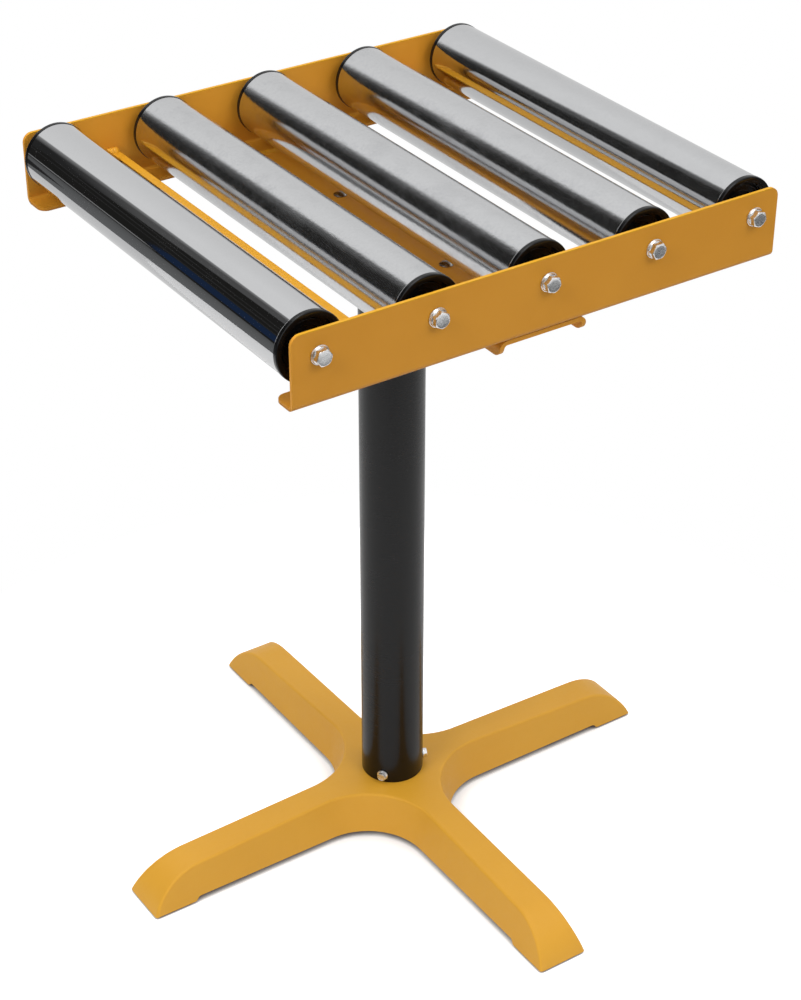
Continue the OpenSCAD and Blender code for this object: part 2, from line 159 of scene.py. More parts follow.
def bendRows(centre, radius, fromDeg, toDeg, half, steps=7):
    # rows round a fold of the sheet, about the fold's centre
    rows = []
    for i in range(steps + 1):
        a = math.radians(fromDeg + (toDeg - fromDeg) * i / steps)
        normal = (math.cos(a), math.sin(a))
        rows.append(((centre[0] + radius * normal[0], centre[1] + radius * normal[1]), normal, half))
    return rows


# section of a weld: steps over its face, reach into the corner and hollowness of the face
# ripple of a weld: length of a lump, depth of the dip between two lumps, and chance
weldForm = {"steps": 7, "root": 0.3, "hollow": 1.35, "lump": 3.1, "dip": 0.10, "chance": (-0.03, 0.02)}


def weldArc():
    # a weld's face from one side of the corner to the other, for a leg of 1
    turns = [math.radians(90 * k / weldForm["steps"]) for k in range(weldForm["steps"] + 1)]
    return [(math.cos(a) ** weldForm["hollow"], math.sin(a) ** weldForm["hollow"]) for a in turns]


def weldBead(start, end, sideA, sideB, leg):
    # a rippled fillet along start-end in the corner between directions sideA and sideB
    start, end, sideA, sideB = map(Vector, (start, end, sideA, sideB))
    along = end - start
    stations = max(12, int(along.length * 2))
    face = weldArc()
    verts, faces = [], []
    for i in range(stations + 1):
        t = i / stations
        edge = min(t, 1 - t) * along.length
        swell = min(1.0, math.sqrt(max(edge, 0.02) / (leg * 0.6)))          # rounds the bead's ends
        dip = weldForm["dip"] * abs(math.sin(math.pi * t * along.length / weldForm["lump"]))
        size = leg * swell * (1 - dip + random.uniform(*weldForm["chance"]))
        base = start + along * t
        verts.append(base - (sideA + sideB) * weldForm["root"])
        verts += [base + sideA * size * u + sideB * size * v for u, v in face]
    n = len(face) + 1
    for i in range(stations):
        for k in range(n):
            a, b = i * n + k, i * n + (k + 1) % n
            faces.append((a, b, b + n, a + n))
    faces += [tuple(range(n)), tuple(range(stations * n, stations * n + n))[::-1]]
    return verts, faces


# materials, all from nodes in object space so that they turn with their piece

def newMaterial(name):
    material = bpy.data.materials.new(name)
    material.use_nodes = True
    return material, material.node_tree, material.node_tree.nodes["Principled BSDF"]


def fillInputs(tree, node, inputs):
    # sockets are linked, other values are set on the input itself
    for key, value in inputs.items():
        if isinstance(value, bpy.types.NodeSocket):
            tree.links.new(value, node.inputs[key])
        else:
            node.inputs[key].default_value = value


def addNode(tree, kind, inputs=None, **settings):
    made = tree.nodes.new("ShaderNode" + kind)
    for key, value in settings.items():
        setattr(made, key, value)
    fillInputs(tree, made, inputs or {})
    return made


def calc(tree, operation, *values):
    return addNode(tree, "Math", dict(enumerate(values)), operation=operation).outputs[0]


def mixShader(tree, share, first, second):
    return addNode(tree, "MixShader", {0: share, 1: first, 2: second}).outputs[0]


def objectPoint(tree, stretch=(1, 1, 1)):
    place = addNode(tree, "TexCoord").outputs["Object"]
    return addNode(tree, "Mapping", {"Vector": place, "Scale": stretch}).outputs[0]


def noiseValue(tree, point, scale, detail=2.0, rough=0.5):
    return addNode(tree, "TexNoise", {"Vector": point, "Scale": scale, "Detail": detail,
                                      "Roughness": rough}).outputs["Fac"]


def ramp(tree, value, low, high, fromLow=0.35, fromHigh=0.65):
    return addNode(tree, "MapRange", {"Value": value, "From Min": fromLow, "From Max": fromHigh,
                                      "To Min": low, "To Max": high}).outputs[0]


def mixColour(tree, factor, first, second):
    made = addNode(tree, "Mix", data_type="RGBA")
    fillInputs(tree, made, {0: factor, 6: first, 7: second})
    return made.outputs[2]


def bumpNormal(tree, height, strength, distance, under=None):
    inputs = {"Height": height, "Strength": strength, "Distance": distance}
    if under:
        inputs["Normal"] = under
    return addNode(tree, "Bump", inputs).outputs[0]


castCoat = {"colour": (0.668, 0.334, 0.0250), "darker": (0.648, 0.320, 0.0225), "speck": (0.70, 0.37, 0.04),
            "roughness": (0.44, 0.52), "peel": 0.008, "peelScale": 140, "shine": 0.50}
sheetCoat = {"colour": (0.665, 0.294, 0.0290), "darker": (0.640, 0.278, 0.0260), "speck": (0.69, 0.32, 0.03),
             "roughness": (0.42, 0.52), "peel": 0.03, "peelScale": 420, "shine": 0.18}
# painted light and shade on a plate's edges, a yellower top edge lit from above and a darker foot bend: the
# height at which the painted colour starts, the height from which it is full, and the colour
paintedEdgeLightAndShade = [(0.7032, 0.7040, (0.620, 0.310, 0.0150)), (0.6435, 0.6400, (0.450, 0.180, 0.0120))]
plateCoatWithPaintedEdges = dict(sheetCoat, edges=paintedEdgeLightAndShade)
# a lighter, yellower copy of the frame's amber for the bars and welds: painted light standing in for the light on
# their tops
barCoatPaintedLight = {"colour": (0.700, 0.338, 0.0230), "darker": (0.675, 0.322, 0.0200), "speck": (0.71, 0.38, 0.04),
           "roughness": (0.34, 0.42), "peel": 0.04, "peelScale": 420, "shine": 0.30}
# scales of the noise in the colour, the specks and the gloss, and the share of the speck's colour
amberNoise = {"cloud": 14, "speck": 620, "gloss": 260, "speckShare": 0.14, "peelDepth": 0.0006}


def amberPaint(name, coat):
    mat, tree, shader = newMaterial(name)
    point = objectPoint(tree)
    cloud = ramp(tree, noiseValue(tree, point, amberNoise["cloud"], 3), 0, 1)
    speck = ramp(tree, noiseValue(tree, point, amberNoise["speck"], 2), 0, amberNoise["speckShare"], 0.40, 0.80)
    base = mixColour(tree, cloud, (*coat["colour"], 1), (*coat["darker"], 1))
    base = mixColour(tree, speck, base, (*coat["speck"], 1))
    # painted light and shade by height, such as the plates' yellower top edge and darker foot bend
    for start, full, colour in coat.get("edges", []):
        height = addNode(tree, "SeparateXYZ", {0: point}).outputs[2]
        base = mixColour(tree, ramp(tree, height, 0, 1, start, full), base, (*colour, 1))
    gloss = ramp(tree, noiseValue(tree, point, amberNoise["gloss"], 3), *coat["roughness"])
    peel = noiseValue(tree, point, coat["peelScale"], 2, 0.6)
    peel = bumpNormal(tree, peel, coat["peel"], amberNoise["peelDepth"])
    fillInputs(tree, shader, {"Base Color": base, "Roughness": gloss, "Normal": peel,
                              "Specular IOR Level": coat["shine"]})
    return mat


columnCoat = {"colour": (0.0028, 0.0028, 0.0030), "lighter": (0.0038, 0.0038, 0.0041),
              "roughness": (0.22, 0.28), "brushedScale": 26, "cloudScale": 22, "peelScale": 380,
              "grainScale": 800, "peel": 0.05, "shine": 0.29}


def blackPaint():
    s = columnCoat
    mat, tree, shader = newMaterial("blackSatinPaint")
    point = objectPoint(tree)
    # faint lines round the tube
    brushed = noiseValue(tree, objectPoint(tree, (1, 1, 14)), s["brushedScale"], 4, 0.6)
    cloud = noiseValue(tree, objectPoint(tree, (1, 1, 0.5)), s["cloudScale"], 4)
    worn = calc(tree, "ADD", brushed, cloud)
    tone = mixColour(tree, ramp(tree, worn, 0, 1, 0.8, 1.2), (*s["colour"], 1), (*s["lighter"], 1))
    peel = bumpNormal(tree, noiseValue(tree, point, s["peelScale"], 2), s["peel"], 0.0005)
    grain = bumpNormal(tree, noiseValue(tree, point, s["grainScale"], 2), s["peel"], 0.0003, peel)
    fillInputs(tree, shader, {"Base Color": tone, "Roughness": ramp(tree, worn, *s["roughness"], 0.8, 1.2),
                              "Normal": grain, "Specular IOR Level": s["shine"]})
    return mat


# haze is a share of dull reflection, more where the roller is smudged, and speckle adds small spots of it;
# smudge darkens the metal and grain breaks up the edges of reflections
rollerFinish = {
    1: {"roughness": (0.028, 0.050), "haze": (0.00, 0.02), "grain": 0.08, "smudge": 0.05, "speckle": 0.01},
    2: {"roughness": (0.080, 0.130), "haze": (0.02, 0.14), "grain": 1.5, "smudge": 0.24, "speckle": 0.10},
    3: {"roughness": (0.090, 0.140), "haze": (0.02, 0.16), "grain": 1.7, "smudge": 0.27, "speckle": 0.11},
    4: {"roughness": (0.085, 0.140), "haze": (0.02, 0.14), "grain": 1.5, "smudge": 0.24, "speckle": 0.10},
    5: {"roughness": (0.080, 0.110), "haze": (0.01, 0.05), "grain": 0.60, "smudge": 0.10, "speckle": 0.04},
}
chromeColour = {"bright": (0.592, 0.597, 0.606), "dull": (0.420, 0.424, 0.434), "hazeRoughness": 0.42}
chromeNoise = {"cloud": 15, "patch": 60, "grain": 430, "speckle": 300, "grainDepth": 0.00005}


def rollerChrome(number):
    finish = rollerFinish[number]
    mat, tree, shader = newMaterial("rollerChrome%d" % number)
    point = objectPoint(tree)
    cloud = noiseValue(tree, objectPoint(tree, (1, 0.6, 1)), chromeNoise["cloud"], 3, 0.55)
    patch = noiseValue(tree, objectPoint(tree, (1, 0.7, 1)), chromeNoise["patch"], 5, 0.60)
    smudge = ramp(tree, calc(tree, "ADD", cloud, patch), 0, 1, 0.98, 1.25)
    tint = mixColour(tree, calc(tree, "MULTIPLY", smudge, finish["smudge"]),
                     (*chromeColour["bright"], 1), (*chromeColour["dull"], 1))
    grain = noiseValue(tree, point, chromeNoise["grain"], 4, 0.70)
    metal = {"Base Color": tint, "Metallic": 1.0,
             "Normal": bumpNormal(tree, grain, finish["grain"], chromeNoise["grainDepth"])}
    fillInputs(tree, shader, dict(metal, Roughness=ramp(tree, smudge, *finish["roughness"], 0, 1)))
    dull = addNode(tree, "BsdfPrincipled", dict(metal, Roughness=chromeColour["hazeRoughness"]))
    spots = noiseValue(tree, point, chromeNoise["speckle"], 4, 0.72)
    spots = ramp(tree, spots, 0, finish["speckle"], 0.42, 0.68)
    haze = calc(tree, "ADD", ramp(tree, smudge, *finish["haze"], 0, 1), spots)
    tree.links.new(mixShader(tree, haze, shader.outputs[0], dull.outputs[0]),
                   tree.nodes["Material Output"].inputs[0])
    return mat


zincFinish = {"bright": (0.88, 0.885, 0.89), "dull": (0.62, 0.625, 0.63), "roughness": (0.20, 0.34)}
# a near-black steel for the axles, spacers and bearings: painted shade for the dark recess inside the caps
recessSteelPaintedShadeFinish = {"bright": (0.045, 0.043, 0.041), "dull": (0.022, 0.021, 0.020), "roughness": (0.40, 0.55)}
# a darker steel for the frame bolts: painted shade for the shade they sit in between the rollers
boltSteelPaintedShadeFinish = {"bright": (0.42, 0.39, 0.35), "dull": (0.24, 0.22, 0.20), "roughness": (0.18, 0.30)}


def steel(name, finish):
    mat, tree, shader = newMaterial(name)
    cloud = noiseValue(tree, objectPoint(tree), 160, 3, 0.55)
    scratch = noiseValue(tree, objectPoint(tree, (1, 3, 9)), 420, 2)
    tone = mixColour(tree, ramp(tree, cloud, 0, 1), (*finish["bright"], 1), (*finish["dull"], 1))
    fillInputs(tree, shader, {"Base Color": tone, "Roughness": ramp(tree, scratch, *finish["roughness"]),
                              "Normal": bumpNormal(tree, cloud, 0.05, 0.0002), "Metallic": 1.0})
    return mat


capPlastic = {"colour": (0.0030, 0.0030, 0.0032), "lighter": (0.0055, 0.0055, 0.0058),
              "roughness": (0.12, 0.18), "shine": 0.32, "cloudScale": 120, "grainScale": 1200}


def blackPlastic():
    s = capPlastic
    mat, tree, shader = newMaterial("blackCapPlastic")
    point = objectPoint(tree)
    cloud = noiseValue(tree, point, s["cloudScale"], 3)
    tone = mixColour(tree, ramp(tree, cloud, 0, 1), (*s["colour"], 1), (*s["lighter"], 1))
    grain = bumpNormal(tree, noiseValue(tree, point, s["grainScale"], 2), 0.05, 0.0002)
    fillInputs(tree, shader, {"Base Color": tone, "Roughness": ramp(tree, cloud, *s["roughness"]),
                              "Normal": grain, "Specular IOR Level": s["shine"]})
    return mat


padRubber = {"colour": (0.014, 0.013, 0.013), "lighter": (0.028, 0.026, 0.025), "roughness": (0.7, 0.9),
             "grainScale": 700, "grain": 0.25}


def footRubber():
    s = padRubber
    mat, tree, shader = newMaterial("footRubber")
    grain = noiseValue(tree, objectPoint(tree), s["grainScale"], 3)
    tone = mixColour(tree, ramp(tree, grain, 0, 1), (*s["colour"], 1), (*s["lighter"], 1))
    fillInputs(tree, shader, {"Base Color": tone, "Roughness": ramp(tree, grain, *s["roughness"]),
                              "Normal": bumpNormal(tree, grain, s["grain"], 0.0003)})
    return mat


castAmber, sheetAmber = amberPaint("amberOnCasting", castCoat), amberPaint("amberOnSheet", sheetCoat)
barAmberPaintedLight, plateAmberWithPaintedEdges = amberPaint("amberOnBarsPaintedLight", barCoatPaintedLight), amberPaint("amberOnPlatesWithPaintedEdges", plateCoatWithPaintedEdges)
black, plastic, rubber = blackPaint(), blackPlastic(), footRubber()
zinc, recessSteelPaintedShade = steel("brightZinc", zincFinish), steel("recessSteelPaintedShade", recessSteelPaintedShadeFinish)
boltSteelPaintedShade = steel("boltSteelPaintedShade", boltSteelPaintedShadeFinish)
print("materials made")


# the frame: two folded side plates, two bars and the channel between them

plateShape = {"halfLength": 239, "outerY": 224, "top": 704.5, "foot": 639, "thick": 3, "flange": 27,
              "bend": 6, "corner": 9, "edge": 0.45}


def sidePlate(side):
    s = plateShape
    face, low = -s["outerY"], s["foot"]
    rows = cornerRows((face, s["top"]), (0, -1), (-1, 0), s["halfLength"], s["corner"])
    rows.append(((face, (s["top"] + low) / 2), (-1, 0), s["halfLength"]))
    rows += bendRows((face + s["bend"], low + s["bend"]), s["bend"], 180, 270, s["halfLength"])
    rows += cornerRows((face + s["flange"], low), (-1, 0), (0, -1), s["halfLength"], s["corner"], reverse=True)
    return foldedSheet(rows, s["thick"], lambda y, z, x: (x, y * side, z))


for pieceName, side, node in (("nearSidePlate", 1, "near_side_plate"), ("farSidePlate", -1, "far_side_plate")):
    placePiece(pieceName, [sidePlate(side)], plateAmberWithPaintedEdges, [node], bevel=plateShape["edge"])

channelShape = {"halfWidth": 43, "halfLength": 220.5, "top": 639, "depth": 14, "thick": 4, "bend": 7,
                "corner": 9, "edge": 0.5}


def crossChannel():
    # half of the section from the web's middle to a leg's free edge, its corners rounded, then mirrored
    s = channelShape

    def halfAt(z):
        into = min(z - (s["top"] - s["depth"]), s["corner"])
        return s["halfLength"] - s["corner"] + math.sqrt(s["corner"] ** 2 - (s["corner"] - into) ** 2)

    legEnd = (-s["halfWidth"], s["top"] - s["depth"])
    rows = cornerRows(legEnd, (0, 1), (-1, 0), s["halfLength"], s["corner"])
    rows = [r for r in rows if r[0][1] < s["top"] - s["bend"] - 0.2]        # only the rows below the fold
    for p, n, _ in bendRows((-s["halfWidth"] + s["bend"], s["top"] - s["bend"]), s["bend"], 180, 90, 0):
        rows.append((p, n, halfAt(p[1])))
    rows.append(((0, s["top"]), (0, 1), s["halfLength"]))
    other = [((-p[0], p[1]), (-n[0], n[1]), half) for p, n, half in rows[-2::-1]]
    return foldedSheet(rows + other, s["thick"], lambda x, z, y: (x, y, z))


placePiece("crossChannel", [crossChannel()], sheetAmber, ["cross_channel"],
           bevel=channelShape["edge"])

barShape = {"x": 160.5, "halfWidth": 13, "halfLength": 221, "top": 667, "thick": 4, "edge": 0.6}


def flatBar(side):
    s = barShape
    edges = (-s["halfWidth"], 0, s["halfWidth"])
    rows = [((side * s["x"] + dx, s["top"]), (0, 1), s["halfLength"]) for dx in edges]
    return foldedSheet(rows, s["thick"], lambda x, z, y: (x, y, z))


for pieceName, side, node in (("leftCrossBar", -1, "left_cross_bar"), ("rightCrossBar", 1, "right_cross_bar")):
    placePiece(pieceName, [flatBar(side)], barAmberPaintedLight, [node], bevel=barShape["edge"])

weldShape = {"barLeg": 4.4, "flangeLeg": 3.4, "flangeHalf": 25, "flangeY": 197}


def frameWelds():
    # beads above and below the bars' ends, and one where each side plate's flange crosses the channel
    s, bar = weldShape, barShape
    beads = []
    for end in (-1, 1):
        inward = (0, -end, 0)
        for side in (-1, 1):
            left, right = side * bar["x"] - bar["halfWidth"], side * bar["x"] + bar["halfWidth"]
            y = end * bar["halfLength"]
            for z, up in ((bar["top"], 1), (bar["top"] - bar["thick"], -1)):
                beads.append(weldBead((left, y, z), (right, y, z), (0, 0, up), inward, s["barLeg"]))
        half, y, z = s["flangeHalf"], end * s["flangeY"], channelShape["top"]
        beads.append(weldBead((-half, y, z), (half, y, z), (0, 0, 1), inward, s["flangeLeg"]))
    return beads


placePiece("frameWelds", frameWelds(), barAmberPaintedLight, ["frame_welds"], sharpAngle=75)
print("frame made")


# the rollers: a tube and two end caps each

rollerShape = {"radius": 30, "halfTube": 207, "bore": 27.5, "chamfer": 0.5, "endBand": 3, "axleZ": 683,
               "pitch": 107, "halfLength": 211, "capRim": 30.4, "capLip": 26.2, "segments": 192}


def rollerPlace(number, y, direction, turn=0.0):
    # rollers are numbered 1 to 5 from the left
    x = (number - 3) * rollerShape["pitch"]
    return axisPlace((x, y, rollerShape["axleZ"]), direction, turn)


def rollerTube():
    s = rollerShape
    r, h, c, band = s["radius"], s["halfTube"], s["chamfer"], s["endBand"]
    profile = [(s["bore"], -h), (r - c, -h), (r, -h + c), (r, -h + band)]
    profile += [(r, -h + band + 2 * (h - band) * i / 8) for i in range(1, 8)]
    profile += [(r, h - band), (r, h - c), (r - c, h), (s["bore"], h)]
    return lathe(profile, s["segments"], closed=True)


def rollerCap():
    # (radius, depth inward from the roller's end) round the rim, the lip, the sunk face and the bearing's seat
    rim, lip = rollerShape["capRim"], rollerShape["capLip"]
    profile = [(27.45, 4.0), (rim - 0.15, 4.0), (rim, 3.8), (rim, 1.0)]
    profile += [(rim - 1 + math.cos(a), 1 - math.sin(a)) for a in map(math.radians, (22, 45, 68, 90))]
    profile += [(lip + 0.5, 0)]
    profile += [(lip + 0.5 - 0.5 * math.sin(a), 0.5 - 0.5 * math.cos(a))
                for a in map(math.radians, (30, 60, 90))]
    profile += [(lip, 1.0), (24.9, 1.0), (24.55, 1.15), (24.45, 1.5), (24.45, 6.6), (24.2, 6.9), (23.9, 7.0),
                (21.95, 7.0), (21.8, 6.85), (21.8, 5.1), (21.5, 4.8), (20.5, 4.8), (20.2, 5.1), (20.2, 6.85),
                (20.05, 7.0), (15.95, 7.0), (15.65, 7.1), (15.55, 7.4), (15.55, 9.8), (15.75, 10.0),
                (17.55, 10.0), (17.55, 21.0), (20.5, 21.0), (20.5, 10.0), (24.45, 10.0), (24.45, 20.0),
                (27.45, 20.0)]
    return lathe(profile, rollerShape["segments"], closed=True)


for number in range(1, 6):
    tube = moved(rollerTube(), rollerPlace(number, 0, (0, 1, 0)))
    placePiece("rollerTube%d" % number, [tube], rollerChrome(number),
               ["roller_tube_%d" % number], "roller_%d" % number, sharpAngle=25)
    caps = [moved(rollerCap(), rollerPlace(number, end * rollerShape["halfLength"], (0, -end, 0)))
            for end in (-1, 1)]
    placePiece("rollerCaps%d" % number, caps, plastic,
               ["roller_caps_%d" % number], "roller_%d" % number, sharpAngle=46)
print("rollers made")


# the fasteners

boltShape = {"flange": 16.9, "flangeThick": 1.4, "coneHeight": 1.6, "hexFlats": 13, "head": 8, "chamfer": 1.0}


def hexRadius(angle, flats, softness=0.35):
    # distance to a hexagon's side at an angle, its corners slightly rounded
    a = (angle + math.pi / 6) % (math.pi / 3) - math.pi / 6
    r = flats / 2 / math.cos(a)
    return min(r, flats / 2 / math.cos(math.pi / 6) - softness * 0.5)


def hexHead(flats, height, chamfer, seat, dish=0.25, sides=96):
    # a hexagon with turned-down corners and a slightly dished top, standing on seat
    top = flats / 2 - chamfer * 0.35
    profile = [(1, seat), (1, height * 0.62), (1, height - chamfer * 0.75), (1, height - chamfer * 0.35),
               (1, height - 0.12), (1, height)]

    def shape(angle, r, z):
        limit = top + (height - z) * 1.9
        return min(hexRadius(angle, flats), limit) - (0.12 if z >= height else 0)

    verts, faces = lathe(profile, sides, shapeAt=shape)
    face = [(r, height - dish * (1 - (r / top) ** 6)) for r in (top * 0.93, top * 0.8, top * 0.5)]
    dishVerts, dishFaces = lathe(face + [(0, height - dish)], sides)
    start = len(verts)
    rim = [start - sides + k for k in range(sides)]
    faces += [(rim[k], rim[(k + 1) % sides], start + (k + 1) % sides, start + k) for k in range(sides)]
    return verts + dishVerts, faces + [tuple(start + i for i in f) for f in dishFaces]


def flangeBolt():
    s = boltShape
    r, t, hexHalf = s["flange"] / 2, s["flangeThick"], s["hexFlats"] / 2
    coneTop = t + s["coneHeight"]
    skirt = [(0, 0.02), (r - 0.35, 0.02), (r - 0.1, 0.12), (r, 0.4), (r, t - 0.5), (r - 0.12, t - 0.15),
             (r - 0.5, t + 0.05), (hexHalf + 0.9, coneTop - 0.25), (hexHalf - 0.2, coneTop)]
    return [lathe(skirt, 96), hexHead(s["hexFlats"], s["head"], s["chamfer"], t + 0.4)]


def axleBolts(side):
    parts = []
    for number in range(1, 6):
        place = rollerPlace(number, side * plateShape["outerY"], (0, side, 0), random.uniform(0, math.pi))
        parts += [moved(p, place) for p in flangeBolt()]
    return parts


placePiece("nearAxleBolts", axleBolts(-1), zinc, ["near_axle_bolts"], sharpAngle=28)
placePiece("farAxleBolts", axleBolts(1), zinc, ["far_axle_bolts"], sharpAngle=28)

# the two bolts through the channel's web and the column's top plate
frameBoltShape = {"y": 83, "web": 639, "plateUnder": 629, "head": 12.5, "height": 3.2, "rim": 0.8, "shank": 6,
                  "length": 18.6, "washer": 12, "washerBore": 7, "washerUnder": 627.4, "nutFlats": 10,
                  "nutUnder": 622.4, "nutBore": 6.2, "nutTurn": 0.4}


def domedBolt(steps=9):
    s = frameBoltShape
    r, h, rim = s["head"] / 2, s["height"], s["rim"]
    radius = (r ** 2 + (h - rim) ** 2) / (2 * (h - rim))
    profile = [(0, 0.02), (r - 0.2, 0.02), (r, 0.2), (r, rim - 0.15), (r - 0.12, rim + 0.05)]
    for i in range(1, steps):
        q = r * (1 - i / steps)
        profile.append((q, h - radius + math.sqrt(radius ** 2 - q ** 2)))
    return lathe(profile + [(0, h)], 72)


def thread(radius, fromZ, toZ, pitch=1.0):
    # ridged shank, as rings
    profile, z = [(0, fromZ), (radius * 0.8, fromZ)], fromZ + 0.4
    while z < toZ - pitch:
        profile += [(radius, z), (radius * 0.88, z + pitch / 2)]
        z += pitch
    return lathe(profile + [(radius * 0.9, toZ), (0, toZ)], 48)


def ringPart(outer, inner, low, high, soft=0.15, segments=72):
    profile = [(inner, low), (outer - soft, low), (outer, low + soft), (outer, high - soft),
               (outer - soft, high), (inner, high)]
    return lathe(profile, segments, closed=True)


def hexNut(flats, low, high, bore, sides=96):
    corner = flats / 2 / math.cos(math.pi / 6)
    profile = [(1, low), (1, low + 0.7), (1, high - 0.7), (1, high)]

    def shape(angle, r, z):
        return min(hexRadius(angle, flats, 0.2), corner - 1.1 + min(z - low, high - z) * 1.7)

    verts, faces = lathe(profile, sides, shapeAt=shape)
    boreVerts, boreFaces = lathe([(bore, high), (bore, low)], sides)
    start = len(verts)
    for k in range(sides):
        n = (k + 1) % sides
        faces += [(3 * sides + k, 3 * sides + n, start + n, start + k),
                  (n, k, start + sides + k, start + sides + n)]
    return verts + boreVerts, faces + [tuple(start + i for i in f) for f in boreFaces]


def frameFasteners():
    s = frameBoltShape
    places = [Matrix.Translation((0, y, 0)) for y in (-s["y"], s["y"])]
    onWeb = Matrix.Translation((0, 0, s["web"]))
    washer = ringPart(s["washer"] / 2, s["washerBore"] / 2, s["washerUnder"], s["plateUnder"])
    nut = hexNut(s["nutFlats"], s["nutUnder"], s["washerUnder"], s["nutBore"] / 2)
    turned = Matrix.Rotation(s["nutTurn"], 4, "Z")
    shank = thread(s["shank"] / 2, -s["length"], 0)
    bolts = [moved(p, m @ onWeb) for m in places for p in (domedBolt(), shank)]
    washers = [moved(washer, m) for m in places]
    nuts = [moved(nut, m @ turned) for m in places]
    # the bolts' darker steel is painted shade
    placePiece("frameBolts", bolts, boltSteelPaintedShade, ["frame_bolts"], sharpAngle=40)
    placePiece("frameWashers", washers, zinc, ["frame_washers"], sharpAngle=40)
    placePiece("frameNuts", nuts, zinc, ["frame_nuts"], sharpAngle=28)


# the three screws round the column's foot; first is the direction of the first in degrees
screwShape = {"z": 53.8, "first": 218, "radius": 30.55, "hexFlats": 8, "height": 3.6, "chamfer": 0.7,
              "washer": 11, "washerBore": 5.2, "washerThick": 1, "shank": 5, "inside": 10, "outside": 1.2,
              "pitch": 0.8}


def columnFasteners():
    s = screwShape
    places = []
    for k in range(3):
        a = math.radians(s["first"] + 120 * k)
        spot = (s["radius"] * math.cos(a), s["radius"] * math.sin(a), s["z"])
        places.append(axisPlace(spot, (math.cos(a), math.sin(a), 0), 0.5 + 0.7 * k))
    head = hexHead(s["hexFlats"], s["height"], s["chamfer"], 0)
    head = moved(head, Matrix.Translation((0, 0, s["washerThick"])))
    shank = thread(s["shank"] / 2, -s["inside"], s["outside"], s["pitch"])
    washer = ringPart(s["washer"] / 2, s["washerBore"] / 2, 0, s["washerThick"])
    screws = [moved(p, m) for m in places for p in (head, shank)]
    washers = [moved(washer, m) for m in places]
    placePiece("columnScrews", screws, zinc, ["column_screws"], sharpAngle=28)
    placePiece("columnWashers", washers, zinc, ["column_washers"], sharpAngle=40)


frameFasteners()
columnFasteners()
print("fasteners made")


# the column with its top plate

columnShape = {"radius": 30.5, "wall": 2.5, "foot": 45, "top": 629, "chamfer": 0.6, "plateThick": 6,
               "plateHalf": (34.5, 99), "corner": 6, "edge": 0.6, "weldLeg": 3.5}


def columnTube():
    s = columnShape
    r, i, c = s["radius"], s["radius"] - s["wall"], s["chamfer"]
    profile = [(i, s["foot"]), (r - c, s["foot"]), (r - c * 0.3, s["foot"] + c * 0.3), (r, s["foot"] + c)]
    profile += [(r, s["foot"] + c + (s["top"] - s["foot"] - 2 * c) * k / 10) for k in range(1, 11)]
    profile += [(r - c, s["top"]), (i, s["top"])]
    return lathe(profile, 144, closed=True)


def roundedPlate(halfX, halfY, corner, low, high):
    outline = []
    for cx, cy, a in ((halfX - corner, halfY - corner, 0), (corner - halfX, halfY - corner, 90),
                      (corner - halfX, corner - halfY, 180), (halfX - corner, corner - halfY, 270)):
        outline += arcPoints(cx, cy, corner, a, a + 90, 8)
    n = len(outline)
    verts = [(x, y, low) for x, y in outline] + [(x, y, high) for x, y in outline]
    faces = [tuple(range(n))[::-1], tuple(range(n, 2 * n))]
    faces += [(k, (k + 1) % n, n + (k + 1) % n, n + k) for k in range(n)]
    return verts, faces


def topPlate():
    s = columnShape
    return roundedPlate(*s["plateHalf"], s["corner"], s["top"], s["top"] + s["plateThick"])


def ringWeld(radius, top, leg, segments=180, lumps=27):
    # bead round the column under its plate, with ripples
    verts, faces = [], []
    for i in range(segments):
        a = 2 * math.pi * i / segments
        size = leg * (0.93 + 0.06 * abs(math.sin(a * lumps)) + random.uniform(-0.02, 0.01))
        section = [(-weldForm["root"], 0.0)] + [(size * u, -size * v) for u, v in weldArc()]
        verts += [((radius + u) * math.cos(a), (radius + u) * math.sin(a), top + v) for u, v in section]
    n = len(verts) // segments
    for i in range(segments):
        for k in range(n):
            a, b = i * n + k, i * n + (k + 1) % n
            c, d = ((i + 1) % segments) * n + k, ((i + 1) % segments) * n + (k + 1) % n
            faces.append((a, c, d, b))
    return verts, faces


columnBead = ringWeld(columnShape["radius"], columnShape["top"], columnShape["weldLeg"])
placePiece("columnTube", [columnTube()], black, ["column_tube"], sharpAngle=30)
placePiece("columnTopPlate", [topPlate()], black, ["column_top_plate"],
           bevel=columnShape["edge"])
placePiece("columnWeld", [columnBead], black, ["column_weld"], sharpAngle=75)
print("column made")


# the base: one quarter drawn as a row of cross-sections from tip to tip, then turned four times

baseShape = {"fork": 87, "hubTop": 45, "footZ": 2, "underside": 6, "halfFoot": 26, "draft": 0.26163,
             "tipRadius": 60, "tipCentre": (230.96, -20.7), "edge": 2.8, "wall": 6, "ceiling": 33.3,
             "cavityEnd": 233.5, "footStart": 242.5, "footRamp": 3, "footEdge": 0.75,
             "sections": (215, 190, 165, 140, 118, 100, 92), "spigot": 27.8, "spigotBore": 19.8, "spigotTop": 115}


def halfWidth(z):
    return baseShape["halfFoot"] - baseShape["draft"] * (z - baseShape["footZ"])


def undersideAt(x):
    # the arm's underside, 4 mm above the foot's, with a softened ramp between them
    s = baseShape
    t = (x - (s["footStart"] - s["footRamp"] - 1)) / (s["footRamp"] + 2)
    t = max(0.0, min(1.0, t))
    return s["underside"] + (s["footZ"] - s["underside"]) * t * t * (3 - 2 * t)


sideSlope = math.hypot(1, baseShape["draft"])
sideNormal = (1 / sideSlope, baseShape["draft"] / sideSlope)           # outward, upward


